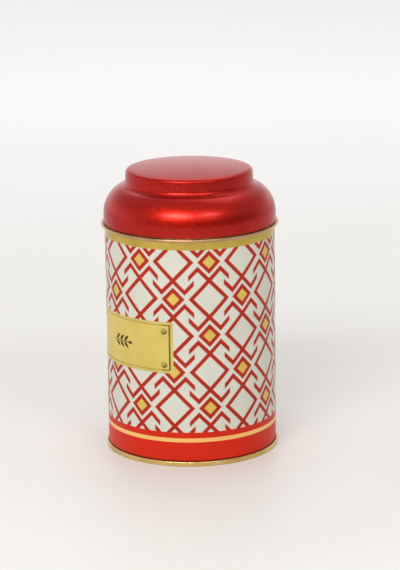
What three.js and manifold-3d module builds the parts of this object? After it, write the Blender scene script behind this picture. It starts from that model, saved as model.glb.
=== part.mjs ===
// A round tea tin with a stepped dome lid, in millimetres, +Z up.
// The origin is the centre of the ring that the tin stands on.
// Five pressings and a knob: printed wall, seamed bottom, neck ring, inner lid with its knob, outer lid.
// Label and print are flat ink on the wall, so they have no solids of their own.

import * as THREE from 'three';
import { mergeVertices } from 'three/addons/utils/BufferGeometryUtils.js';
import Module from 'manifold-3d';

const wasm = await Module();
wasm.setup();

// Driving dimensions
const WALL_RADIUS = 50; // outside of the printed wall
const SHEET = 0.6; // wall thickness of the solids
const GAP = 0.3; // clearance between neighbouring pieces
const RIM_HEIGHT = 135.4; // top of the wall's rolled bead
const FACETS = 60; // flat faces round each turned piece

// Printed wall
const BEAD_RADIUS = 0.7; // the rolled edge's own section
const BEAD_REACH = 2.2; // how far the bead stands out from the wall
const BEAD_NECK = 2.3; // from the top of the bead down to where it leaves the wall
const BEAD_DIP = 0.8; // the bead's hollow inner edge
const SIDE_SEAM_WIDTH = 5;
const SIDE_SEAM_DEPTH = 0.5; // how far the folded seam stands in from the wall
const SIDE_SEAM_ENDS = [6, 121];

// Bottom
const SEAM_HEIGHT = 2.8;
const SEAM_SHEET = 0.8; // outer leg of the seam, two sheets thick
const PANEL_HEIGHT = 2.6; // underside of the recessed panel
const PANEL_BEAD_RADIUS = 41; // stiffening step in the panel
const PANEL_STEP = 0.8; // its depth
const BOTTOM_SHEET = 0.5;
const SEAM_ROUND = 0.35;
const FOOT = SEAM_SHEET + 0.02; // the wall's lower end, inside the seam

// Neck ring
const RING_SHEET = 0.6;
const RING_BOTTOM = 124;
const RING_TOP = 141.5;
const RING_CURL = 0.6; // the ring's rolled mouth, turned inwards

// Inner lid
const PAN_RADIUS = 47.5; // outside of the skirt that plugs the ring
const PAN_SHEET = 0.5;
const PAN_BOTTOM = 131;
const PAN_CORNER = 1.5;
const FLANGE_RADIUS = 49;

// Knob, turned, riveted through the inner lid
const KNOB_RADIUS = 7.5;
const KNOB_HEIGHT = 14;
const SHANK_RADIUS = 1.5;
const RIVET_RADIUS = 3;
const RIVET_HEIGHT = 0.9;
const KNOB_FOOT = 5; // radius of its foot and of the flare under its head
const KNOB_WAIST = 3.4;
const KNOB_ROUND = 2.3; // round of its head
const KNOB_FACETS = 32;

// Outer lid
const LID_SHEET = 0.5;
const LID_RADIUS = 50.6; // outside of its wall
const LID_BOTTOM = 135.7;
const MOUTH_ROUND = 0.5;
const MOUTH_HEM = 0.45; // how far the mouth's edge is turned inwards
const SHOULDER_START = 140.6; // where the straight wall turns into the shoulder
const SHOULDER_REACH = 15.4; // half axes of the shoulder's curve
const SHOULDER_RISE = 17.4;
const SHOULDER_TURN = 73; // degrees round that curve to the foot of the step
const STEP_RADIUS = 37.5; // foot of the step
const STEP_TOP_RADIUS = 37.25;
const FOOT_FILLET = 3.2;
const FOOT_CENTRE_HEIGHT = 160.3;
const FOOT_START = 251; // degrees, where the shoulder runs into the fillet
const EDGE_REACH = 3; // half axes of the rounded edge on top of the step
const EDGE_RISE = 2;
const EDGE_TURN = 80; // degrees round that edge to the top panel
const EDGE_CENTRE_HEIGHT = 165.1;
const CROWN = 1.5; // how far the top panel bulges

const printedTinplate = new THREE.MeshStandardMaterial({ color: 0xd7d4c8, roughness: 0.35, metalness: 0.1 });
const goldLacquer = new THREE.MeshStandardMaterial({ color: 0xd2b463, roughness: 0.3, metalness: 0.9 });
const redLacquer = new THREE.MeshStandardMaterial({ color: 0xb01a12, roughness: 0.38, metalness: 0.8 });
const turnedBrass = new THREE.MeshStandardMaterial({ color: 0xd0a850, roughness: 0.25, metalness: 1 });

// Points of an elliptical arc in the profile plane, angles in degrees from the radial direction.
function arc(centreRadius, centreHeight, reach, rise, from, to, steps) {
  const points = [];
  for (let i = 0; i <= steps; i += 1) {
    const angle = THREE.MathUtils.degToRad(from + ((to - from) * i) / steps);
    points.push([centreRadius + reach * Math.cos(angle), centreHeight + rise * Math.sin(angle)]);
  }
  return points;
}

// A profile of [radius, height] points, counter-clockwise, turned round the Z axis.
function turned(profile, facets = FACETS) {
  const points = profile.map(([radius, height]) => new THREE.Vector2(radius, height));
  const first = points[0];
  if (first.x > 0) {
    points.push(first.clone());
  }
  const geometry = new THREE.LatheGeometry(points, facets);
  geometry.rotateX(Math.PI / 2);
  return geometry;
}

function toSolid(geometry) {
  const bare = geometry.clone();
  bare.deleteAttribute('normal');
  bare.deleteAttribute('uv');
  const merged = mergeVertices(bare, 1e-4);
  const triangles = [];
  for (let i = 0; i < merged.index.count; i += 3) {
    const corners = [merged.index.getX(i), merged.index.getX(i + 1), merged.index.getX(i + 2)];
    if (new Set(corners).size === 3) {
      triangles.push(...corners);
    }
  }
  return new wasm.Manifold(new wasm.Mesh({
    numProp: 3,
    vertProperties: new Float32Array(merged.attributes.position.array),
    triVerts: new Uint32Array(triangles),
  }));
}

function toGeometry(solid) {
  const mesh = solid.getMesh();
  const geometry = new THREE.BufferGeometry();
  geometry.setAttribute('position', new THREE.BufferAttribute(mesh.vertProperties, 3));
  geometry.setIndex(new THREE.BufferAttribute(mesh.triVerts, 1));
  geometry.computeVertexNormals();
  return geometry;
}

function named(name, geometry, material) {
  const mesh = new THREE.Mesh(geometry, material);
  mesh.name = name;
  return mesh;
}

// The wall is one rolled sheet: its top edge is curled outwards into a bead, and its ends meet
// in a folded seam that runs up the inside at the back.
function bodyShell() {
  const inside = WALL_RADIUS - SHEET;
  const beadCentre = [WALL_RADIUS + BEAD_REACH - BEAD_RADIUS, RIM_HEIGHT - BEAD_RADIUS];
  const wall = turned([
    [inside, FOOT],
    [WALL_RADIUS, FOOT],
    [WALL_RADIUS, RIM_HEIGHT - BEAD_NECK],
    [WALL_RADIUS + 0.3, RIM_HEIGHT - 2 * BEAD_DIP],
    ...arc(...beadCentre, BEAD_RADIUS, BEAD_RADIUS, -115, 90, 6),
    [WALL_RADIUS + 0.4, RIM_HEIGHT - 0.15],
    [inside + 0.2, RIM_HEIGHT - BEAD_DIP],
    [inside, RIM_HEIGHT - 2 * BEAD_DIP],
  ]);
  const [seamBottom, seamTop] = SIDE_SEAM_ENDS;
  const depth = SIDE_SEAM_DEPTH + SHEET / 2;
  const seam = new THREE.BoxGeometry(SIDE_SEAM_WIDTH, depth, seamTop - seamBottom);
  seam.translate(0, inside - SIDE_SEAM_DEPTH + depth / 2, (seamTop + seamBottom) / 2);
  return toGeometry(toSolid(wall).add(toSolid(seam)));
}

// The bottom is a stamped disc: a flat recessed panel with one stiffening step, and a channel
// at its edge that is rolled round the foot of the wall as a double seam.
function bottomEnd() {
  const channelInside = WALL_RADIUS - SHEET - GAP;
  const channelOutside = WALL_RADIUS + GAP;
  const outside = channelOutside + SEAM_SHEET;
  const channelFloor = FOOT - GAP;
  const wallInside = channelInside - BOTTOM_SHEET;
  const groove = PANEL_HEIGHT - PANEL_STEP;
  return turned([
    [0, PANEL_HEIGHT],
    [PANEL_BEAD_RADIUS, PANEL_HEIGHT],
    [PANEL_BEAD_RADIUS + 1, groove],
    [wallInside - 1, groove],
    [wallInside, groove - 0.6],
    [wallInside, SEAM_ROUND],
    [wallInside + SEAM_ROUND, 0],
    [outside - SEAM_ROUND, 0],
    [outside, SEAM_ROUND],
    [outside, SEAM_HEIGHT - SEAM_ROUND],
    [outside - SEAM_ROUND, SEAM_HEIGHT],
    [channelOutside, SEAM_HEIGHT],
    [channelOutside, channelFloor],
    [channelInside, channelFloor],
    [channelInside, groove + 0.2],
    [channelInside - 0.8, groove + BOTTOM_SHEET],
    [PANEL_BEAD_RADIUS + 0.8, groove + BOTTOM_SHEET],
    [PANEL_BEAD_RADIUS - 0.2, PANEL_HEIGHT + BOTTOM_SHEET],
    [0, PANEL_HEIGHT + BOTTOM_SHEET],
  ]);
}

// A plain collar pressed into the mouth of the wall. It stands above the bead, guides the outer lid
// and has its own mouth curled inwards for the inner lid.
function neckRing() {
  const outside = WALL_RADIUS - SHEET - GAP;
  const inside = outside - RING_SHEET;
  return turned([
    [inside, RING_BOTTOM],
    [outside, RING_BOTTOM],
    ...arc(outside - RING_CURL, RING_TOP - RING_CURL, RING_CURL, RING_CURL, 0, 180, 4),
    [inside - 0.4, RING_TOP - 1],
    [inside, RING_TOP - 1.5],
  ]);
}

// A shallow pan whose skirt plugs the neck ring and whose flange rests on the ring's curled mouth.
function innerLid() {
  const flangeBottom = RING_TOP + GAP;
  const flangeTop = flangeBottom + PAN_SHEET + 0.1;
  const inside = PAN_RADIUS - PAN_SHEET;
  const hole = SHANK_RADIUS + GAP;
  const corner = PAN_CORNER;
  return turned([
    [hole, PAN_BOTTOM],
    [PAN_RADIUS - corner, PAN_BOTTOM],
    ...arc(PAN_RADIUS - corner, PAN_BOTTOM + corner, corner, corner, -45, 0, 1),
    [PAN_RADIUS, flangeBottom],
    [FLANGE_RADIUS, flangeBottom],
    [FLANGE_RADIUS + 0.15, (flangeBottom + flangeTop) / 2],
    [FLANGE_RADIUS, flangeTop],
    [PAN_RADIUS, flangeTop],
    [inside, flangeTop - 0.4],
    [inside, PAN_BOTTOM + corner],
    [inside - 1, PAN_BOTTOM + PAN_SHEET],
    [hole, PAN_BOTTOM + PAN_SHEET],
  ]);
}

// A small turned knob. Its shank passes through the pan and is peened over underneath.
function innerLidKnob() {
  const rivetTop = PAN_BOTTOM - GAP;
  const foot = PAN_BOTTOM + PAN_SHEET + GAP;
  const top = foot + KNOB_HEIGHT;
  return turned([
    [0, rivetTop - RIVET_HEIGHT],
    [RIVET_RADIUS - 0.6, rivetTop - RIVET_HEIGHT + 0.1],
    [RIVET_RADIUS, rivetTop - RIVET_HEIGHT / 2],
    [RIVET_RADIUS, rivetTop],
    [SHANK_RADIUS, rivetTop],
    [SHANK_RADIUS, foot],
    [KNOB_FOOT - 0.2, foot],
    [KNOB_FOOT, foot + 0.8],
    [KNOB_WAIST, foot + 3.5],
    [KNOB_WAIST, foot + 6],
    [KNOB_FOOT, foot + 8.6],
    ...arc(KNOB_RADIUS - KNOB_ROUND, top - KNOB_ROUND, KNOB_ROUND, KNOB_ROUND, -30, 80, 4),
    [0, top],
  ], KNOB_FACETS);
}

// One side of the outer lid's sheet: from the mouth up the wall, round the shoulder, up the step
// and in over the bulging top panel to the axis. Inset 0 is the outside.
function lidOutline(inset) {
  const foot = FOOT_FILLET + inset;
  const edge = arc(
    STEP_TOP_RADIUS - EDGE_REACH,
    EDGE_CENTRE_HEIGHT,
    EDGE_REACH - inset,
    EDGE_RISE - inset,
    0,
    EDGE_TURN,
    4,
  );
  const [panelRadius, panelHeight] = edge[edge.length - 1];
  return [
    [LID_RADIUS - inset, LID_BOTTOM + 0.9],
    ...arc(
      LID_RADIUS - SHOULDER_REACH,
      SHOULDER_START,
      SHOULDER_REACH - inset,
      SHOULDER_RISE - inset,
      0,
      SHOULDER_TURN,
      8,
    ),
    ...arc(STEP_RADIUS + FOOT_FILLET, FOOT_CENTRE_HEIGHT, foot, foot, FOOT_START, 180, 4),
    ...edge,
    [panelRadius * 0.7, panelHeight + CROWN * 0.51],
    [panelRadius * 0.35, panelHeight + CROWN * 0.88],
    [0, panelHeight + CROWN],
  ];
}

// The outer lid is one drawn shell, open below, with a small inward hem at its mouth.
function outerLid() {
  const mouth = LID_RADIUS - MOUTH_ROUND;
  return turned([
    ...lidOutline(LID_SHEET).reverse(),
    [LID_RADIUS - LID_SHEET - MOUTH_HEM, LID_BOTTOM + 0.7],
    ...arc(mouth, LID_BOTTOM + MOUTH_ROUND, MOUTH_ROUND, MOUTH_ROUND, 225, 360, 3),
    ...lidOutline(0),
  ]);
}

const tin = new THREE.Group();
tin.add(named('body_shell', bodyShell(), printedTinplate));
tin.add(named('bottom_end', bottomEnd(), goldLacquer));
tin.add(named('neck_ring', neckRing(), goldLacquer));

const plug = new THREE.Group();
plug.add(named('inner_lid', innerLid(), goldLacquer));
plug.add(named('inner_lid_knob', innerLidKnob(), turnedBrass));

const caddy = new THREE.Group();
caddy.add(tin);
caddy.add(plug);
caddy.add(named('outer_lid', outerLid(), redLacquer));

export default caddy;
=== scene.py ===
"""A lithographed tea tin with a stepped dome lid: the looks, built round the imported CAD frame."""

import math

import bmesh
import bpy
from mathutils import Matrix, Vector


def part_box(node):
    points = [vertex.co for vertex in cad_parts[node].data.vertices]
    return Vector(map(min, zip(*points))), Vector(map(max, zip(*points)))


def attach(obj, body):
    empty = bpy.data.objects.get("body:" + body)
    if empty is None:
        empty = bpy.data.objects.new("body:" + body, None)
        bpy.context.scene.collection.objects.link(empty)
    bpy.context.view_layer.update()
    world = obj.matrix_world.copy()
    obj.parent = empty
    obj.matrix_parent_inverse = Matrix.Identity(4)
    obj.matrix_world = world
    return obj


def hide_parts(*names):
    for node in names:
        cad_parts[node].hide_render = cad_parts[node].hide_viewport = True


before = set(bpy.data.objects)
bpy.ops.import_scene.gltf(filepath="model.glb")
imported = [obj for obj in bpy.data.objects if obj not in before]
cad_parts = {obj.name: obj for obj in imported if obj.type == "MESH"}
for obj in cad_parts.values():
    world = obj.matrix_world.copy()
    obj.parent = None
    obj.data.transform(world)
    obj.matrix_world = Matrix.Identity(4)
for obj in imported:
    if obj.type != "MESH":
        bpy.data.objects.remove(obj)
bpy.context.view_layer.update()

MM = 0.001

# ---------------------------------------------------------------------------
# Sizes read from the frame
# ---------------------------------------------------------------------------

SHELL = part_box("body_shell")
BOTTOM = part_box("bottom_end")
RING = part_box("neck_ring")
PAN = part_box("inner_lid")
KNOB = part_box("inner_lid_knob")
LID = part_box("outer_lid")

BEAD_REACH = 2.2 * MM  # how far the bead stands out from the wall
BEAD_OUTSIDE = SHELL[1].y
WALL_RADIUS = BEAD_OUTSIDE - BEAD_REACH
RIM_TOP = SHELL[1].z
SEAM_RADIUS = BOTTOM[1].y
LID_TOP = LID[1].z
LID_LOW = LID[0].z
SHEET = 0.3 * MM  # the thickness of every sheet that is drawn here

# ---------------------------------------------------------------------------
# Camera
# ---------------------------------------------------------------------------

CAMERA_AZIMUTH = 52.3  # degrees round from -Y towards +X
CAMERA_ELEVATION = 14.16
CAMERA_ROLL = -0.7
CAMERA_DISTANCE = 1.444
CAMERA_LENS = 154.2
CAMERA_RANGE = 50
AIM_HEIGHT = 96 * MM
AIM_RIGHT = 5.6 * MM


def toward(azimuth, elevation, distance):
    """A point at a distance from the origin, its azimuth and elevation given as the camera's are."""
    turn, rise = math.radians(azimuth), math.radians(elevation)
    flat = distance * math.cos(rise)
    return Vector((flat * math.sin(turn), -flat * math.cos(turn), distance * math.sin(rise)))


def add_camera():
    """Looks a little down on the tin, with the tin left of the picture's middle."""
    camera = bpy.data.objects.new("camera", bpy.data.cameras.new("camera"))
    bpy.context.collection.objects.link(camera)
    camera.data.lens = CAMERA_LENS
    camera.data.clip_end = CAMERA_RANGE
    back = toward(CAMERA_AZIMUTH, CAMERA_ELEVATION, 1)
    right = toward(CAMERA_AZIMUTH + 90, 0, 1)
    aim = right * AIM_RIGHT + Vector((0, 0, AIM_HEIGHT))
    camera.location = aim + back * CAMERA_DISTANCE
    roll = Matrix.Rotation(math.radians(CAMERA_ROLL), 3, "Z")
    camera.rotation_euler = (back.to_track_quat("Z", "Y").to_matrix() @ roll).to_euler()
    bpy.context.scene.camera = camera


add_camera()
bpy.context.scene.view_settings.view_transform = "Standard"

# ---------------------------------------------------------------------------
# Meshes
# ---------------------------------------------------------------------------

SEGMENTS = 360
ON_AXIS = 1e-7  # a smaller radius is a single point on the axis
SHARP_ANGLE = math.radians(38)


def arc(centre_radius, centre_height, reach, rise, start, end, steps):
    """Points of an elliptical arc in the profile plane, angles in degrees."""
    points = []
    for i in range(steps + 1):
        angle = math.radians(start + (end - start) * i / steps)
        points.append((centre_radius + reach * math.cos(angle), centre_height + rise * math.sin(angle)))
    return points


def bend(centre_radius, centre_height, radius, start, end, steps):
    """Points of a round arc in the profile plane, angles in degrees."""
    return arc(centre_radius, centre_height, radius, radius, start, end, steps)


def offset_outline(points, distance):
    """The same open outline moved sideways, to the left of its direction, by distance."""
    moved = []
    for i, (radius, height) in enumerate(points):
        before = Vector(points[max(i - 1, 0)])
        after = Vector(points[min(i + 1, len(points) - 1)])
        along = (after - before).normalized()
        moved.append((max(radius - along.y * distance, 0), height + along.x * distance))
    return moved


def as_mesh(name, form):
    """Turns a bmesh into a mesh and frees it."""
    mesh = bpy.data.meshes.new(name)
    form.to_mesh(mesh)
    form.free()
    return mesh


def finish_mesh(name, mesh, materials, body, replaced=()):
    """Makes the mesh a piece of the part: smooth faces with sharp corners, riding on a body."""
    for polygon in mesh.polygons:
        polygon.use_smooth = True
    mesh.set_sharp_from_angle(angle=SHARP_ANGLE)
    for material in materials:
        mesh.materials.append(material)
    piece = bpy.data.objects.new(name, mesh)
    bpy.context.collection.objects.link(piece)
    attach(piece, body)
    if replaced:
        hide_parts(*replaced)


def turned_mesh(name, profile, closed, segments=SEGMENTS, reshape=None, material_of=None):
    """A profile of (radius, height) points turned round Z. An open profile starts and ends on the axis.

    reshape gives a point's radius at an angle, and material_of gives a row of faces its material.
    """
    form = bmesh.new()
    rings = []
    for radius, height in profile:
        if radius < ON_AXIS:
            rings.append([form.verts.new((0, 0, height))])
            continue
        ring = []
        for i in range(segments):
            angle = 2 * math.pi * i / segments
            here = reshape(radius, angle) if reshape else radius
            ring.append(form.verts.new((here * math.sin(angle), -here * math.cos(angle), height)))
        rings.append(ring)
    pairs = list(zip(rings, rings[1:]))
    if closed:
        pairs.append((rings[-1], rings[0]))
    for row, (low, high) in enumerate(pairs):
        for i in range(segments):
            j = (i + 1) % segments
            corners = [low[i % len(low)], low[j % len(low)], high[j % len(high)], high[i % len(high)]]
            face = form.faces.new(list(dict.fromkeys(corners)))
            face.material_index = material_of(row) if material_of else 0
    bmesh.ops.recalc_face_normals(form, faces=form.faces)
    return as_mesh(name, form)


INK_LIFT = 0.02 * MM  # each layer of ink stands this much further out than the one below it
INK_THICKNESS = 0.05 * MM
FACET = math.radians(1.5)  # a print is bent round the wall in steps of this angle


def filled(flat, outlines):
    """Adds one flat face for a set of outlines; an outline inside another is a hole."""
    edges = []
    for outline in outlines:
        points = [flat.verts.new((x, y, 0)) for x, y in outline]
        edges += [flat.edges.new((a, b)) for a, b in zip(points, points[1:] + points[:1])]
    bmesh.ops.triangle_fill(flat, edges=edges, use_beauty=True, use_dissolve=False)


def cut(flat, point, normal, drop=False):
    """Cuts a flat print by a plane, and drops what the normal points to if asked."""
    geometry = flat.verts[:] + flat.edges[:] + flat.faces[:]
    bmesh.ops.bisect_plane(flat, geom=geometry, plane_co=point, plane_no=normal, clear_outer=drop)


def clip(flat, low, high, axis):
    """Cuts away what lies below low or above high along an axis."""
    for limit, direction in ((low, -1), (high, 1)):
        point, normal = [0, 0, 0], [0, 0, 0]
        point[axis], normal[axis] = limit, direction
        cut(flat, point, normal, drop=True)


def wrapped_mesh(name, flat, lift):
    """Rolls a flat print of (arc length, height) round the wall and gives it the ink's thickness."""
    low = min(vertex.co.x for vertex in flat.verts)
    high = max(vertex.co.x for vertex in flat.verts)
    step = WALL_RADIUS * FACET
    for i in range(math.floor(low / step) + 1, math.ceil(high / step)):
        cut(flat, (i * step, 0, 0), (1, 0, 0))
    bmesh.ops.triangulate(flat, faces=flat.faces)
    flat.normal_update()
    faces = flat.faces[:]
    bmesh.ops.reverse_faces(flat, faces=[face for face in faces if face.normal.z < 0])
    result = bmesh.ops.extrude_face_region(flat, geom=faces, use_keep_orig=True)
    raised = {item for item in result["geom"] if isinstance(item, bmesh.types.BMVert)}
    for vertex in flat.verts:
        angle = vertex.co.x / WALL_RADIUS
        radius = WALL_RADIUS + lift - (0 if vertex in raised else INK_THICKNESS)
        vertex.co = Vector((radius * math.sin(angle), -radius * math.cos(angle), vertex.co.y))
    return as_mesh(name, flat)


# ---------------------------------------------------------------------------
# Materials
# ---------------------------------------------------------------------------

SEAM_SHADE_HIGH = 3.9 * MM  # an ink with a shade colour takes it on from here down to the lower height: painted shade in the crease above the bottom seam
SEAM_SHADE_LOW = 3.1 * MM


def srgb(red, green, blue):
    """A linear colour from sRGB values of 0 to 255."""
    linear = []
    for value in (red, green, blue):
        share = value / 255
        linear.append(share / 12.92 if share <= 0.04045 else ((share + 0.055) / 1.055) ** 2.4)
    return (*linear, 1)


class Surface:
    """A Principled material and the few node patterns that this part's surfaces share."""

    def __init__(self, name, metallic=0.0, coat=0.0, coat_roughness=0.1):
        self.material = bpy.data.materials.new(name)
        self.material.use_nodes = True
        self.nodes = self.material.node_tree.nodes
        self.links = self.material.node_tree.links
        self.shader = self.nodes["Principled BSDF"]
        self.shader.inputs["Metallic"].default_value = metallic
        self.shader.inputs["Coat Weight"].default_value = coat
        self.shader.inputs["Coat Roughness"].default_value = coat_roughness
        self.place = self.nodes.new("ShaderNodeTexCoord").outputs["Object"]
        self.relief = None

    def noise(self, scale, detail=2.0, stretch=(1, 1, 1)):
        """Noise with features of about 1 / scale metres."""
        mapping = self.nodes.new("ShaderNodeMapping")
        mapping.inputs["Scale"].default_value = stretch
        self.links.new(self.place, mapping.inputs["Vector"])
        texture = self.nodes.new("ShaderNodeTexNoise")
        texture.inputs["Scale"].default_value = scale
        texture.inputs["Detail"].default_value = detail
        self.links.new(mapping.outputs["Vector"], texture.inputs["Vector"])
        return texture.outputs["Fac"]

    def ramp(self, value, stops):
        """Colours along a value; stops are (position, colour)."""
        ramp = self.nodes.new("ShaderNodeValToRGB")
        elements = ramp.color_ramp.elements
        while len(elements) < len(stops):
            elements.new(0.5)
        for element, (position, colour) in zip(elements, stops):
            element.position = position
            element.color = colour
        self.links.new(value, ramp.inputs["Fac"])
        return ramp.outputs["Color"]

    def mix(self, share, first, second):
        """Blends from one colour to another; each value is a number, a colour or a socket."""
        node = self.nodes.new("ShaderNodeMix")
        node.data_type = "RGBA"
        for socket, value in ((node.inputs[0], share), (node.inputs[6], first), (node.inputs[7], second)):
            if isinstance(value, (int, float, tuple)):
                socket.default_value = value
            else:
                self.links.new(value, socket)
        return node.outputs[2]

    def between(self, value, low, high, new_low=0.0, new_high=1.0):
        """Maps the range from low to high onto the range from new_low to new_high, clamped."""
        node = self.nodes.new("ShaderNodeMapRange")
        node.inputs["From Min"].default_value = low
        node.inputs["From Max"].default_value = high
        node.inputs["To Min"].default_value = new_low
        node.inputs["To Max"].default_value = new_high
        self.links.new(value, node.inputs["Value"])
        return node.outputs["Result"]

    def height(self):
        """A point's height on the part."""
        split = self.nodes.new("ShaderNodeSeparateXYZ")
        self.links.new(self.place, split.inputs["Vector"])
        return split.outputs["Z"]

    def distance(self):
        """How far a point lies from the origin of the part."""
        length = self.nodes.new("ShaderNodeVectorMath")
        length.operation = "LENGTH"
        self.links.new(self.place, length.inputs[0])
        return length.outputs["Value"]

    def bump(self, value, strength, distance):
        """Adds a relief on top of the reliefs added before it."""
        node = self.nodes.new("ShaderNodeBump")
        node.inputs["Strength"].default_value = strength
        node.inputs["Distance"].default_value = distance
        self.links.new(value, node.inputs["Height"])
        if self.relief:
            self.links.new(self.relief, node.inputs["Normal"])
        self.relief = node.outputs["Normal"]

    def finish(self, colour, roughness):
        """Connects the colour, the roughness and the relief, and gives back the material."""
        self.links.new(colour, self.shader.inputs["Base Color"])
        self.links.new(roughness, self.shader.inputs["Roughness"])
        if self.relief:
            self.links.new(self.relief, self.shader.inputs["Normal"])
        return self.material


def ink(name, light, dark, roughness=0.4, seam_shade=None):
    """Flat litho ink under clear varnish, mottled by the tinplate below it; a shade colour adds painted shade
    low down, in the crease above the bottom seam.
    """
    surface = Surface(name, coat=0.08, coat_roughness=0.14)
    surface.shader.inputs["Specular IOR Level"].default_value = 0.15
    mottle = surface.noise(55, detail=3)
    fine = surface.noise(1500)
    colour = surface.ramp(mottle, ((0.3, dark), (0.7, light)))
    colour = surface.mix(surface.between(fine, 0.35, 0.65, 0.0, 0.12), colour, dark)
    # painted shade: darker from the upper to the lower height, in the crease just above the bottom seam
    if seam_shade:
        colour = surface.mix(surface.between(surface.height(), SEAM_SHADE_HIGH, SEAM_SHADE_LOW), colour, seam_shade)
    surface.bump(surface.noise(260), 0.05, 0.2 * MM)
    surface.bump(fine, 0.04, 0.05 * MM)
    return surface.finish(colour, surface.between(mottle, 0.3, 0.7, roughness - 0.03, roughness + 0.05))


def gold_ink(name, light, dark, roughness=0.42, metallic=0.35):
    """Gold-tinted ink that lets the tinplate shine through, with a fine speckle."""
    surface = Surface(name, metallic=metallic, coat=0.2, coat_roughness=0.15)
    mottle = surface.noise(70, detail=3)
    speckle = surface.noise(1300, detail=3)
    colour = surface.ramp(mottle, ((0.3, dark), (0.7, light)))
    colour = surface.mix(surface.between(speckle, 0.4, 0.75, 0.0, 0.3), colour, dark)
    surface.bump(speckle, 0.12, 0.06 * MM)
    return surface.finish(colour, surface.between(speckle, 0.3, 0.7, roughness - 0.06, roughness + 0.08))


def lacquered_metal(name, light, dark, roughness=0.28, worn=None):
    """Gold-lacquered tinplate: rolling lines, faint stains and, with a worn colour, rubbed spots."""
    surface = Surface(name, metallic=1.0, coat=0.2, coat_roughness=0.1)
    stain = surface.noise(45, detail=4)
    lines = surface.noise(90, detail=3, stretch=(1, 1, 30))
    rubbed = surface.noise(160, detail=5)
    colour = surface.ramp(stain, ((0.3, dark), (0.68, light)))
    if worn:
        colour = surface.mix(surface.between(rubbed, 0.6, 0.72), colour, worn)
    surface.bump(lines, 0.06, 0.05 * MM)
    surface.bump(surface.noise(900), 0.05, 0.03 * MM)
    return surface.finish(colour, surface.between(rubbed, 0.35, 0.7, roughness - 0.05, roughness + 0.1))


def red_lacquer():
    """Metallic red lacquer over a satin-grained sheet. The clear coat has the softer relief."""
    surface = Surface("red_lacquer", metallic=1.0, coat=1.0, coat_roughness=0.23)
    surface.shader.inputs["Coat IOR"].default_value = 1.28
    surface.shader.inputs["Specular Tint"].default_value = (0.62, 0.15, 0.1, 1)
    grain = surface.noise(1100, detail=3)
    cloud = surface.noise(38, detail=3)
    colour = surface.ramp(grain, ((0.3, srgb(158, 12, 0)), (0.5, srgb(182, 19, 0)), (0.7, srgb(208, 32, 4))))
    colour = surface.mix(surface.between(cloud, 0.35, 0.7, 0.0, 0.15), colour, srgb(160, 11, 0))
    surface.bump(grain, 0.3, 0.12 * MM)
    surface.bump(surface.noise(300), 0.05, 0.1 * MM)
    surface.links.new(surface.relief, surface.shader.inputs["Coat Normal"])
    surface.bump(grain, 0.25, 0.12 * MM)
    return surface.finish(colour, surface.between(grain, 0.3, 0.7, 0.34, 0.44))


def knob_brass():
    """Turned brass with tool rings, a little tarnished."""
    surface = Surface("turned_brass", metallic=1.0)
    rings = surface.noise(60, stretch=(1, 1, 60))
    tarnish = surface.noise(220, detail=4)
    colour = surface.ramp(tarnish, ((0.3, srgb(176, 134, 60)), (0.65, srgb(228, 192, 112))))
    surface.bump(rings, 0.15, 0.05 * MM)
    return surface.finish(colour, surface.between(tarnish, 0.3, 0.7, 0.18, 0.34))


WHITE_INK = ink("white_ink", srgb(211, 210, 197), srgb(205, 204, 190))
RED_INK = ink("red_ink", srgb(178, 38, 16), srgb(166, 32, 13))
# the red foot ink carries painted shade in the crease above the bottom seam
FOOT_RED_INK = ink("foot_red_ink", srgb(208, 38, 12), srgb(200, 33, 9), seam_shade=srgb(96, 20, 6))
GOLD_INK = gold_ink("gold_ink", srgb(220, 192, 88), srgb(208, 176, 74))
GOLD_LINE_INK = gold_ink("gold_line_ink", srgb(252, 198, 114), srgb(244, 186, 102))
GOLD_BAND_INK = gold_ink("gold_band_ink", srgb(208, 180, 80), srgb(182, 152, 56), 0.3, metallic=0.8)
LABEL_INK = gold_ink("label_ink", srgb(222, 198, 102), srgb(210, 185, 90))
LABEL_EDGE_INK = gold_ink("label_edge_ink", srgb(212, 194, 108), srgb(198, 178, 92))
LABEL_LINE_INK = ink("label_line_ink", srgb(118, 92, 26), srgb(104, 80, 20))
LABEL_BEVEL_INK = ink("label_bevel_ink", srgb(186, 162, 80), srgb(170, 146, 66))
SCREW_INK = gold_ink("screw_ink", srgb(190, 174, 90), srgb(170, 153, 74))
SHADE_INK = ink("shade_ink", srgb(108, 90, 28), srgb(90, 74, 20))
DARK_INK = ink("dark_ink", srgb(78, 60, 14), srgb(66, 48, 10))
GOLD_LACQUER = lacquered_metal(
    "gold_lacquer", srgb(232, 204, 130), srgb(208, 174, 98), worn=srgb(230, 222, 200)
)
INSIDE_LACQUER = lacquered_metal("inside_lacquer", srgb(222, 198, 140), srgb(202, 174, 112), 0.24)
RIM_LACQUER = lacquered_metal(
    "rim_lacquer", srgb(206, 168, 124), srgb(182, 142, 100), 0.3, worn=srgb(204, 176, 144)
)
RED_LACQUER = red_lacquer()
KNOB_BRASS = knob_brass()

# ---------------------------------------------------------------------------
# Body: the rolled wall, its seamed bottom and the neck ring
# ---------------------------------------------------------------------------

WALL_ROWS = (3, 20, 50, 80, 110, 130, 133)  # heights in mm where the wall's rows of faces meet
BEAD_FOOT = RIM_TOP - 2.2 * MM
BEAD_ROUND = 0.7 * MM
NECK_ROUND = 0.55 * MM  # where the wall turns out below the bead
MOUTH_ROUND = 1.3 * MM  # the smooth inner edge of the mouth

SIDE_SEAM_HALF = math.radians(3)
SIDE_SEAM_EDGE = math.radians(0.9)
SIDE_SEAM_SINK = 0.12 * MM
SIDE_SEAM_END = WALL_RADIUS + 0.1 * MM  # the flat stops where the neck has turned out this far


def side_seam_shape(radius, angle):
    """The folded side seam at the back leaves a shallow flat in the wall."""
    away = abs(angle - math.pi)
    if radius > SIDE_SEAM_END or away > SIDE_SEAM_HALF:
        return radius
    edge = min(1, (SIDE_SEAM_HALF - away) / SIDE_SEAM_EDGE)
    return radius - SIDE_SEAM_SINK * edge


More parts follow.
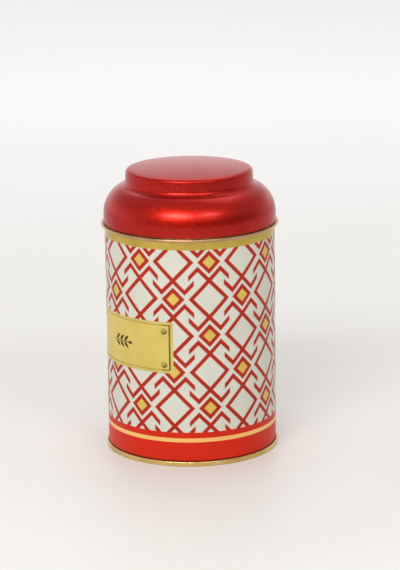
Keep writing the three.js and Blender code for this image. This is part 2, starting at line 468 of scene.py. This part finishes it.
def add_wall():
    """The printed sheet: white outside up to the bead, lacquered on the bead and inside."""
    foot = SHELL[0].z
    inside = WALL_RADIUS - SHEET
    outline = [(inside, foot), (WALL_RADIUS, foot)]
    outline += [(WALL_RADIUS, height * MM) for height in WALL_ROWS]
    last_white_row = len(outline) - 2
    outline += bend(WALL_RADIUS + NECK_ROUND, BEAD_FOOT, NECK_ROUND, 180, 110, 4)
    outline += bend(BEAD_OUTSIDE - BEAD_ROUND, RIM_TOP - BEAD_ROUND, BEAD_ROUND, -125, 95, 16)
    outline += bend(inside + MOUTH_ROUND, RIM_TOP - MOUTH_ROUND, MOUTH_ROUND, 110, 180, 5)
    outline += [(inside, height * MM) for height in reversed(WALL_ROWS[:-1])]

    def material_of(row):
        return 0 if 1 <= row <= last_white_row else 1

    mesh = turned_mesh("printed_wall", outline, True, reshape=side_seam_shape, material_of=material_of)
    materials = (WHITE_INK, RIM_LACQUER)
    finish_mesh("printed_wall", mesh, materials, "canister", ("body_shell",))


def add_side_seam_fold():
    """The folded lock of the side seam, a flat strip that stands in from the wall."""
    half_width, depth, corner = 2.5 * MM, 0.5 * MM, 0.2 * MM
    low, high = 6 * MM, 121 * MM
    overlap = 0.1 * MM  # how deep its back lies in the wall
    back = WALL_RADIUS - SHEET - SIDE_SEAM_SINK + overlap
    outline = arc(half_width - corner, 0, corner, depth, 0, 90, 4)
    outline += arc(-half_width + corner, 0, corner, depth, 90, 180, 4)
    fold = bmesh.new()
    lower, upper = ([fold.verts.new((x, back - inward, z)) for x, inward in outline] for z in (low, high))
    for i in range(len(outline)):
        j = (i + 1) % len(outline)
        fold.faces.new((lower[i], lower[j], upper[j], upper[i]))
    fold.faces.new(lower)
    fold.faces.new(upper)
    bmesh.ops.recalc_face_normals(fold, faces=fold.faces)
    mesh = as_mesh("side_seam_fold", fold)
    finish_mesh("side_seam_fold", mesh, (INSIDE_LACQUER,), "canister")


def add_bottom_end():
    """The stamped bottom: a panel with a step round it, and a double seam that holds the wall's foot."""
    top = BOTTOM[1].z
    panel = 2.6 * MM  # the underside of the panel
    ledge = panel - 1.0 * MM  # the underside of the lower ring round it
    ledge_top = top - 0.5 * MM
    step, step_round = 41 * MM, 0.8 * MM
    step_flat = step - 6 * MM  # a row here keeps the panel's shading flat
    ledge_start = step + 1.0 * MM
    chuck_inside = WALL_RADIUS - 1.4 * MM  # the upright ring inside the wall's foot
    chuck_outside = WALL_RADIUS - 0.7 * MM
    chuck_round, chuck_rise = 1.2 * MM, 0.8 * MM
    seam_top, seam_round = 2.8 * MM, 0.6 * MM
    seam_inside = WALL_RADIUS + 0.05 * MM
    foot_round = 0.7 * MM
    channel = 0.9 * MM  # the floor of the groove that holds the wall's foot
    below = [(0, panel), (step_flat, panel)]
    below += bend(step, panel - step_round, step_round, 90, 0, 5)
    below += [(ledge_start, ledge), (chuck_inside - chuck_round - 0.4 * MM, ledge)]
    below += arc(chuck_inside - chuck_round, ledge - chuck_rise, chuck_round, chuck_rise, 90, 0, 5)
    below += bend(chuck_inside + foot_round, foot_round, foot_round, 180, 270, 6)
    below += bend(SEAM_RADIUS - foot_round, foot_round, foot_round, 270, 360, 6)
    below += bend(SEAM_RADIUS - seam_round, seam_top - seam_round, seam_round, 0, 90, 6)
    above = [(seam_inside, seam_top - 0.25 * MM), (seam_inside, channel)]
    above += [(chuck_outside, channel), (chuck_outside, top - 1.0 * MM)]
    above += [(chuck_inside, ledge_top), (step + 1.2 * MM, ledge_top)]
    above += bend(step, top - step_round, step_round, 0, 90, 4)
    above += [(0, top)]
    mesh = turned_mesh("bottom_end_seamed", below + above, False)
    finish_mesh("bottom_end_seamed", mesh, (GOLD_LACQUER,), "canister", ("bottom_end",))


def add_neck_ring():
    """The collar pressed into the mouth, with a rolled upper edge."""
    low, top = RING[0].z, RING[1].z
    press_gap = 0.15 * MM
    outside = WALL_RADIUS - SHEET - press_gap
    inside = outside - SHEET
    curl = 0.6 * MM
    lower_row = low + 4 * MM
    outline = [(inside, low), (outside, low), (outside, lower_row), (outside, top - 3 * MM)]
    outline += bend(outside - curl, top - curl, curl, 0, 200, 14)
    outline += [(inside - 0.35 * MM, top - 1.3 * MM), (inside, top - 1.8 * MM), (inside, lower_row)]
    mesh = turned_mesh("neck_collar", outline, True)
    finish_mesh("neck_collar", mesh, (INSIDE_LACQUER,), "canister", ("neck_ring",))


# ---------------------------------------------------------------------------
# Print: inks on the wall, laid out flat. x is the arc length from -Y towards +X, y is the height
# ---------------------------------------------------------------------------

HALF_SHEET = math.pi * WALL_RADIUS
SEAM_MARGIN = 2.7 * MM  # the bare strip on each side of the side seam
BAND_MARGIN = 0.4 * SEAM_MARGIN

BAND_TOP = RIM_TOP - 2.3 * MM
LATTICE_HIGH = 128.9 * MM
LATTICE_LOW = 20.4 * MM
GOLD_LINE_HIGH = 16.9 * MM
GOLD_LINE_LOW = 14.5 * MM
FOOT_LOW = 2.2 * MM

COLUMNS = 15
COLUMN_PITCH = 2 * math.pi * WALL_RADIUS / COLUMNS
FIRST_COLUMN = math.radians(40.83) * WALL_RADIUS
ROWS = range(-1, 7)
ROW_PITCH = 21.68 * MM
ROW_ZERO = 121.7 * MM  # the height of row 0; the rows go down from there

# The lattice's figures, in pitches from a figure's middle
STROKE = 0.074  # half a stroke, measured across or up
ARM_APEX = 0.318
ARM_END = 0.578
LARGE_SIDE = 0.5
SMALL_OUTSIDE = 0.322
SMALL_INSIDE = 0.178

LABEL_WIDTH = 70.6 * MM
LABEL_LOW = 55.9 * MM
LABEL_HIGH = 86.3 * MM
LABEL_BORDER = 1.6 * MM
LABEL_LINE = 1.0 * MM  # the dark lines at the ends
LABEL_BEVEL = 0.6 * MM  # the paler lines above and below
LABEL_CORNER = 5.5 * MM  # how far the dark lines go round the corners
SCREW_RADIUS = 1.9 * MM
SCREW_INSET = 5.5 * MM


def placed(outline, column, row):
    """Turns an outline in pitches into arc length and height."""
    across = FIRST_COLUMN + column * COLUMN_PITCH
    up = ROW_ZERO - row * ROW_PITCH
    return [(across + u * COLUMN_PITCH, up + v * ROW_PITCH) for u, v in outline]


def diamond(half):
    """A diamond's corners, round its own middle."""
    return [(half, 0), (0, half), (-half, 0), (0, -half)]


def figure_outline():
    """A large diamond whose sides cross above and below it and end in hooks."""
    rise = LARGE_SIDE + 2 * ARM_APEX - ARM_END
    quarter = [
        (LARGE_SIDE + STROKE, 0),
        (STROKE, LARGE_SIDE),
        (ARM_APEX, LARGE_SIDE + ARM_APEX - STROKE),
        (ARM_END, rise - STROKE),
        (ARM_END, rise + STROKE),
        (ARM_APEX, LARGE_SIDE + ARM_APEX + STROKE),
        (0, LARGE_SIDE + STROKE),
    ]
    top_left = [(-u, v) for u, v in reversed(quarter[:-1])]
    bottom_left = [(-u, -v) for u, v in quarter[1:]]
    bottom_right = [(u, -v) for u, v in reversed(quarter[1:-1])]
    return quarter + top_left + bottom_left + bottom_right


def lattice_places(parity):
    """Columns and rows of every second diamond: parity 0 for the large ones, 1 for the small ones."""
    places = []
    for column in range(-COLUMNS, COLUMNS):
        centre = FIRST_COLUMN + column * COLUMN_PITCH
        if abs(centre) < HALF_SHEET + COLUMN_PITCH:
            places += [(column, row) for row in ROWS if (column + row) % 2 == parity]
    return places


def clip_to_field(flat):
    """Trims the lattice to its field on the sheet."""
    edge = HALF_SHEET - SEAM_MARGIN
    clip(flat, LATTICE_LOW, LATTICE_HIGH, axis=1)
    clip(flat, -edge, edge, axis=0)


def outside_label(outline):
    """True unless the label covers the whole outline."""
    return not all(abs(x) < LABEL_WIDTH / 2 and LABEL_LOW < y < LABEL_HIGH for x, y in outline)


def add_print(name, flat, material, layer=1):
    """Puts a flat print on the wall as one of its layers of ink, counted outwards."""
    mesh = wrapped_mesh(name, flat, layer * INK_LIFT)
    finish_mesh(name, mesh, (material,), "canister")


def add_lattice():
    """Red figures and red-framed small diamonds, with gold inside the small ones."""
    kinds = (
        (0, figure_outline(), diamond(LARGE_SIDE - STROKE)),
        (1, diamond(SMALL_OUTSIDE), diamond(SMALL_INSIDE)),
    )
    red = bmesh.new()
    for parity, outside, inside in kinds:
        for place in lattice_places(parity):
            outline = placed(outside, *place)
            if outside_label(outline):
                filled(red, (outline, placed(inside, *place)))
    clip_to_field(red)
    add_print("red_lattice_print", red, RED_INK)
    gold = bmesh.new()
    for place in lattice_places(1):
        outline = placed(diamond(SMALL_INSIDE), *place)
        if outside_label(outline):
            filled(gold, (outline,))
    clip_to_field(gold)
    add_print("gold_diamond_print", gold, GOLD_INK)


def box(left, right, low, high):
    """A rectangle's corners."""
    return [(left, low), (right, low), (right, high), (left, high)]


def add_bands():
    """The gold band below the bead, and the red foot with a gold line in it."""
    edge = HALF_SHEET - BAND_MARGIN
    bands = (
        ("gold_top_band_print", LATTICE_HIGH, BAND_TOP, GOLD_BAND_INK),
        ("red_foot_line_print", GOLD_LINE_HIGH, LATTICE_LOW, FOOT_RED_INK),
        ("gold_foot_line_print", GOLD_LINE_LOW, GOLD_LINE_HIGH, GOLD_LINE_INK),
        ("red_foot_band_print", FOOT_LOW, GOLD_LINE_LOW, FOOT_RED_INK),
    )
    for name, low, high, material in bands:
        flat = bmesh.new()
        filled(flat, (box(-edge, edge, low, high),))
        add_print(name, flat, material)


def label_box(inset):
    """The label's outline, moved in by an inset."""
    half = LABEL_WIDTH / 2 - inset
    return box(-half, half, LABEL_LOW + inset, LABEL_HIGH - inset)


def circle(x, y, radius):
    """Points round a centre."""
    steps = 28
    turns = [2 * math.pi * i / steps for i in range(steps)]
    return [(x + radius * math.cos(turn), y + radius * math.sin(turn)) for turn in turns]


def crescent(x, y, radius):
    """The shaded lower side of a printed screw head: angles in degrees, depth as a share of the radius."""
    start, sweep, deepest = 190, 200, 0.62
    steps = 16
    outer, inner = [], []
    for i in range(steps + 1):
        turn = math.radians(start + sweep * i / steps)
        outer.append((x + radius * math.cos(turn), y + radius * math.sin(turn)))
        depth = radius * (1 - deepest * math.sin(math.pi * i / steps))
        inner.append((x + depth * math.cos(turn), y + depth * math.sin(turn)))
    return outer + list(reversed(inner[1:-1]))


def leaf(x, y, length, width, turn):
    """A pointed leaf that starts at (x, y) and points along turn, in degrees."""
    swell = 0.8  # below 1 it brings the widest place nearer the base
    steps = 12
    shares = [i / steps for i in range(steps + 1)]
    side = [(length * share, width / 2 * math.sin(math.pi * share ** swell)) for share in shares]
    outline = side + [(along, -across) for along, across in reversed(side[1:-1])]
    cosine, sine = math.cos(math.radians(turn)), math.sin(math.radians(turn))
    return [(x + a * cosine - b * sine, y + a * sine + b * cosine) for a, b in outline]


def add_label():
    """A plate drawn in ink: its face, a bevelled border, four screw heads and a sprig."""
    plate = bmesh.new()
    filled(plate, (label_box(LABEL_BORDER),))
    add_print("label_plate_print", plate, LABEL_INK, layer=2)
    edge = bmesh.new()
    filled(edge, (label_box(0), label_box(LABEL_BORDER)))
    add_print("label_edge_print", edge, LABEL_EDGE_INK, layer=2)
    add_label_lines()
    add_label_screws()
    add_sprig()


def add_label_lines():
    """The border's inner edge: dark brackets at the ends and paler lines between them."""
    end = LABEL_WIDTH / 2 - LABEL_BORDER
    inside = end - LABEL_CORNER
    low, high = LABEL_LOW + LABEL_BORDER, LABEL_HIGH - LABEL_BORDER
    upper = [(inside, high), (inside, high - LABEL_BEVEL), (end - LABEL_LINE, high - LABEL_BEVEL)]
    lower = [(end - LABEL_LINE, low + LABEL_BEVEL), (inside, low + LABEL_BEVEL), (inside, low)]
    bracket = [(end, low), (end, high)] + upper + lower
    line = bmesh.new()
    for side in (-1, 1):
        filled(line, ([(side * x, y) for x, y in bracket],))
    add_print("label_line_print", line, LABEL_LINE_INK, layer=3)
    bevel = bmesh.new()
    filled(bevel, (box(-inside, inside, high - LABEL_BEVEL, high),))
    filled(bevel, (box(-inside, inside, low, low + LABEL_BEVEL),))
    add_print("label_bevel_print", bevel, LABEL_BEVEL_INK, layer=3)


def add_label_screws():
    """Four flat screw heads, each with a shaded side and a slot."""
    slot_left, slot_right, slot_low, slot_high = -1.3 * MM, 1.0 * MM, 0.12 * MM, 0.38 * MM
    across = LABEL_WIDTH / 2 - SCREW_INSET
    upper, lower = LABEL_HIGH - SCREW_INSET, LABEL_LOW + SCREW_INSET - 0.5 * MM
    heads = bmesh.new()
    shade = bmesh.new()
    for x in (-across, across):
        for y in (upper, lower):
            filled(heads, (circle(x, y, SCREW_RADIUS),))
            filled(shade, (crescent(x, y, SCREW_RADIUS),))
            filled(shade, (box(x + slot_left, x + slot_right, y + slot_low, y + slot_high),))
    add_print("label_screw_print", heads, SCREW_INK, layer=3)
    add_print("label_screw_shade_print", shade, SHADE_INK, layer=4)


def add_sprig():
    """A leafy sprig in dark ink, lying across the middle of the label."""
    middle = (LABEL_LOW + LABEL_HIGH) / 2
    left, right, half_stem = -7.6 * MM, 4.6 * MM, 0.28 * MM
    first_pair, pair_pitch = 1.3 * MM, 3.9 * MM
    pair_gap, pair_turn = 0.5 * MM, 42
    leaf_length, leaf_width = 4.9 * MM, 1.9 * MM
    tip_length, tip_width, tip_gap = 4.0 * MM, 1.8 * MM, 0.1 * MM
    sprig = bmesh.new()
    filled(sprig, (box(left, right, middle - half_stem, middle + half_stem),))
    for i in range(3):
        x = left + first_pair + i * pair_pitch
        for side in (-1, 1):
            y = middle + side * pair_gap
            filled(sprig, (leaf(x, y, leaf_length, leaf_width, side * pair_turn),))
    filled(sprig, (leaf(right + tip_gap, middle, tip_length, tip_width, 0),))
    add_print("label_sprig_print", sprig, DARK_INK, layer=3)


# ---------------------------------------------------------------------------
# Lids
# ---------------------------------------------------------------------------


def add_outer_lid():
    """One drawn sheet: a round shoulder, a raised step with a soft edge and a crowned panel."""
    radius = LID[1].y
    shoulder_foot, shoulder_end = 140.6 * MM, 73
    shoulder_reach, shoulder_rise = 15.4 * MM, 17.4 * MM
    step_foot, step_high, step_top = 37.5 * MM, 37.42 * MM, 37.25 * MM
    step_height = 162.5 * MM
    fillet, fillet_height, fillet_start = 3.2 * MM, 160.3 * MM, 251
    edge_reach, edge_rise, edge_end = 3 * MM, 2 * MM, 80
    crown, crown_rows = 1.5 * MM, 8
    hem = 0.45 * MM
    edge_height = LID_TOP - crown - edge_rise * math.sin(math.radians(edge_end))
    outside = [(radius, LID_LOW + hem), (radius, LID_LOW + 2 * MM)]
    outside += arc(radius - shoulder_reach, shoulder_foot, shoulder_reach, shoulder_rise, 0, shoulder_end, 34)
    outside += bend(step_foot + fillet, fillet_height, fillet, fillet_start, 180, 14)
    outside += [(step_high, step_height)]
    outside += arc(step_top - edge_reach, edge_height, edge_reach, edge_rise, 0, edge_end, 14)
    panel, panel_height = outside[-1]
    for i in range(1, crown_rows + 1):
        share = 1 - i / crown_rows
        outside.append((panel * share, panel_height + crown * (1 - share ** 2)))
    inside = offset_outline(outside, SHEET)
    rolled_edge = bend(radius - hem, LID_LOW + hem, hem, 180, 350, 8)
    profile = list(reversed(inside)) + rolled_edge + outside
    inner_rows = len(inside) + len(rolled_edge) - 3

    def material_of(row):
        return 1 if row < inner_rows else 0

    mesh = turned_mesh("dome_shell", profile, False, material_of=material_of)
    finish_mesh("dome_shell", mesh, (RED_LACQUER, INSIDE_LACQUER), "dome_lid", ("outer_lid",))


def add_inner_lid():
    """A pan with a raised ring in its floor, a hole for the knob's shank and a curled rim."""
    low, top = PAN[0].z, PAN[1].z
    hole = 1.6 * MM
    raised, ring_start, ring_end, ramp = low + 0.6 * MM, 12 * MM, 36 * MM, 2 * MM
    skirt, corner = 47.5 * MM, 1.5 * MM
    skirt_inside, skirt_row = skirt - SHEET, low + 5 * MM
    rim, curl = PAN[1].y, 0.35 * MM
    floor = [(hole, low), (ring_start, low), (ring_start + ramp, raised)]
    floor += [(ring_end - ramp, raised), (ring_end, low)]
    outline = floor + [(skirt - corner - 1 * MM, low)]
    outline += bend(skirt - corner, low + corner, corner, 270, 360, 8)
    outline += [(skirt, skirt_row), (skirt, top - 0.9 * MM), (skirt + 0.3 * MM, top - 0.6 * MM)]
    outline += bend(rim - curl, top - curl, curl, 250, 450, 10)
    outline += [(skirt + 0.4 * MM, top), (skirt - 0.2 * MM, top - 0.2 * MM)]
    outline += [(skirt_inside, top - 0.8 * MM), (skirt_inside, skirt_row)]
    outline += bend(skirt - corner, low + corner, corner - SHEET, 360, 270, 8)
    outline += [(radius, height + SHEET) for radius, height in reversed(floor)]
    mesh = turned_mesh("plug_pan", outline, True)
    finish_mesh("plug_pan", mesh, (INSIDE_LACQUER,), "plug_lid", ("inner_lid",))


def add_knob():
    """A turned knob: rivet head, shank, foot disc, waist and a domed cap."""
    low, top, cap = KNOB[0].z, KNOB[1].z, KNOB[1].x
    rivet_flat, rivet_round, rivet_rise = 2.2 * MM, 0.8 * MM, 0.75 * MM
    shank, shank_low = 1.5 * MM, low + 1.1 * MM
    foot = PAN[0].z + 0.35 * MM
    foot_flat, foot_round = 4.6 * MM, 0.5 * MM
    waist_out, waist_height = 6.9 * MM, foot + 5.4 * MM
    waist_reach, waist_rise = 3.6 * MM, 4.2 * MM
    cap_round, cap_rise, cap_height = 1.2 * MM, 1.1 * MM, top - 3.0 * MM
    dome_flat, dome_rise = 0.5 * MM, 3.4 * MM
    outline = [(0, low)]
    outline += arc(rivet_flat, low + rivet_rise, rivet_round, rivet_rise, 270, 380, 8)
    outline += [(shank, shank_low), (shank, foot)]
    outline += bend(foot_flat, foot + foot_round, foot_round, 270, 420, 7)
    outline += arc(waist_out, waist_height, waist_reach, waist_rise, 230, 132, 16)
    outline += arc(cap - cap_round, cap_height, cap_round, cap_rise, -80, 40, 8)
    outline += arc(dome_flat, top - dome_rise, cap - cap_round, dome_rise, 24, 90, 14)
    outline += [(0, top)]
    mesh = turned_mesh("turned_knob", outline, False, segments=128)
    finish_mesh("turned_knob", mesh, (KNOB_BRASS,), "plug_lid", ("inner_lid_knob",))


add_wall()
add_side_seam_fold()
add_bottom_end()
add_neck_ring()
add_lattice()
add_bands()
add_label()
add_outer_lid()
add_inner_lid()
add_knob()

# ---------------------------------------------------------------------------
# Stage and light
# ---------------------------------------------------------------------------

ROOM_WHITE = srgb(250, 249, 249)
FLOOR_RADIUS = 6
FLOOR_NEAR, FLOOR_FAR = 0.25, 1.2  # the floor pales from one distance to the other: painted light that evens out how the lamps light it

BEHIND_TIN = 1.25  # how bright the room is, by direction
BEFORE_TIN = 0.08
OVERHEAD = 0.65
BRIGHT_SIDE = 25  # degrees: the brightest direction is this far round from straight behind the tin
DIM_COSINE, BRIGHT_COSINE = -0.9, 0.7  # of the angle from the brightest direction
LEVEL_SINE, OVERHEAD_SINE = 0.08, 0.5  # of the elevations where the overhead share starts and is full

MIDDLE = Vector((0, 0, (SHELL[0].z + LID_TOP) / 2))
LIGHT_DISTANCE = 2.0
BACKDROP_DISTANCE = 1.3
BACKDROP_LIGHT_HEIGHT = 1.6


def add_floor():
    """A pale paper floor that fades into the room, its colour painted paler with distance from the tin."""
    surface = Surface("floor_paper")
    shade = surface.noise(3)
    near = surface.ramp(shade, ((0.3, srgb(223, 221, 216)), (0.7, srgb(228, 226, 222))))
    # painted light: darker near the tin, where the lamps light the floor most, and paler far off, where their
    # light falls away
    colour = surface.mix(surface.between(surface.distance(), FLOOR_NEAR, FLOOR_FAR), near, ROOM_WHITE)
    surface.bump(surface.noise(400), 0.02, 0.1 * MM)
    surface.finish(colour, surface.between(shade, 0.3, 0.7, 0.42, 0.5))
    bpy.ops.mesh.primitive_circle_add(vertices=128, radius=FLOOR_RADIUS, fill_type="NGON")
    floor = bpy.context.object
    floor.name = "floor"
    floor.data.materials.append(surface.material)


def add_soft_light(name, place, aim, width, height, power):
    """An oval area light at a place, turned to its aim."""
    lamp = bpy.data.lights.new(name, "AREA")
    lamp.shape = "ELLIPSE"
    lamp.size = width
    lamp.size_y = height
    lamp.energy = power
    light = bpy.data.objects.new(name, lamp)
    bpy.context.collection.objects.link(light)
    light.location = place
    light.rotation_euler = (place - aim).to_track_quat("Z", "Y").to_euler()


def add_front_light(name, side, elevation, width, height, power):
    """A soft light on the camera's side of the tin, side degrees round from the camera."""
    place = MIDDLE + toward(CAMERA_AZIMUTH + side, elevation, LIGHT_DISTANCE)
    add_soft_light(name, place, MIDDLE, width, height, power)


def add_backdrop_light():
    """A wide light behind the tin that shines down on the floor there."""
    aim = toward(CAMERA_AZIMUTH + 180, 0, BACKDROP_DISTANCE)
    place = aim + Vector((0, 0, BACKDROP_LIGHT_HEIGHT))
    add_soft_light("backdrop_light", place, aim, width=2.6, height=1.2, power=10)


def add_world():
    """A white room: brightest behind the tin and to its left, dim on the near side."""
    world = bpy.data.worlds.new("studio")
    world.use_nodes = True
    nodes, links = world.node_tree.nodes, world.node_tree.links
    direction = nodes.new("ShaderNodeTexCoord").outputs["Generated"]

    def along(axis, low, high, new_low, new_high):
        """Maps how far the direction points along an axis, from low to high, onto a new range."""
        dot = nodes.new("ShaderNodeVectorMath")
        dot.operation = "DOT_PRODUCT"
        dot.inputs[1].default_value = axis
        links.new(direction, dot.inputs[0])
        scale = nodes.new("ShaderNodeMapRange")
        scale.interpolation_type = "SMOOTHSTEP"
        for socket, number in zip(list(scale.inputs)[1:5], (low, high, new_low, new_high)):
            socket.default_value = number
        links.new(dot.outputs["Value"], scale.inputs["Value"])
        return scale.outputs["Result"]

    far = toward(CAMERA_AZIMUTH + BRIGHT_SIDE + 180, 0, 1)
    level = along(far, DIM_COSINE, BRIGHT_COSINE, BEFORE_TIN, BEHIND_TIN)
    up = along((0, 0, 1), LEVEL_SINE, OVERHEAD_SINE, 0, 1)
    strength = nodes.new("ShaderNodeMix")
    links.new(up, strength.inputs[0])
    links.new(level, strength.inputs[2])
    strength.inputs[3].default_value = OVERHEAD
    background = nodes["Background"]
    background.inputs["Color"].default_value = ROOM_WHITE
    links.new(strength.outputs[0], background.inputs["Strength"])
    bpy.context.scene.world = world


add_floor()
add_world()
add_front_light("window_light", side=-19, elevation=37, width=1.2, height=0.46, power=19.5)
add_front_light("fill_light", side=29, elevation=39, width=1.0, height=0.34, power=6)
add_backdrop_light()
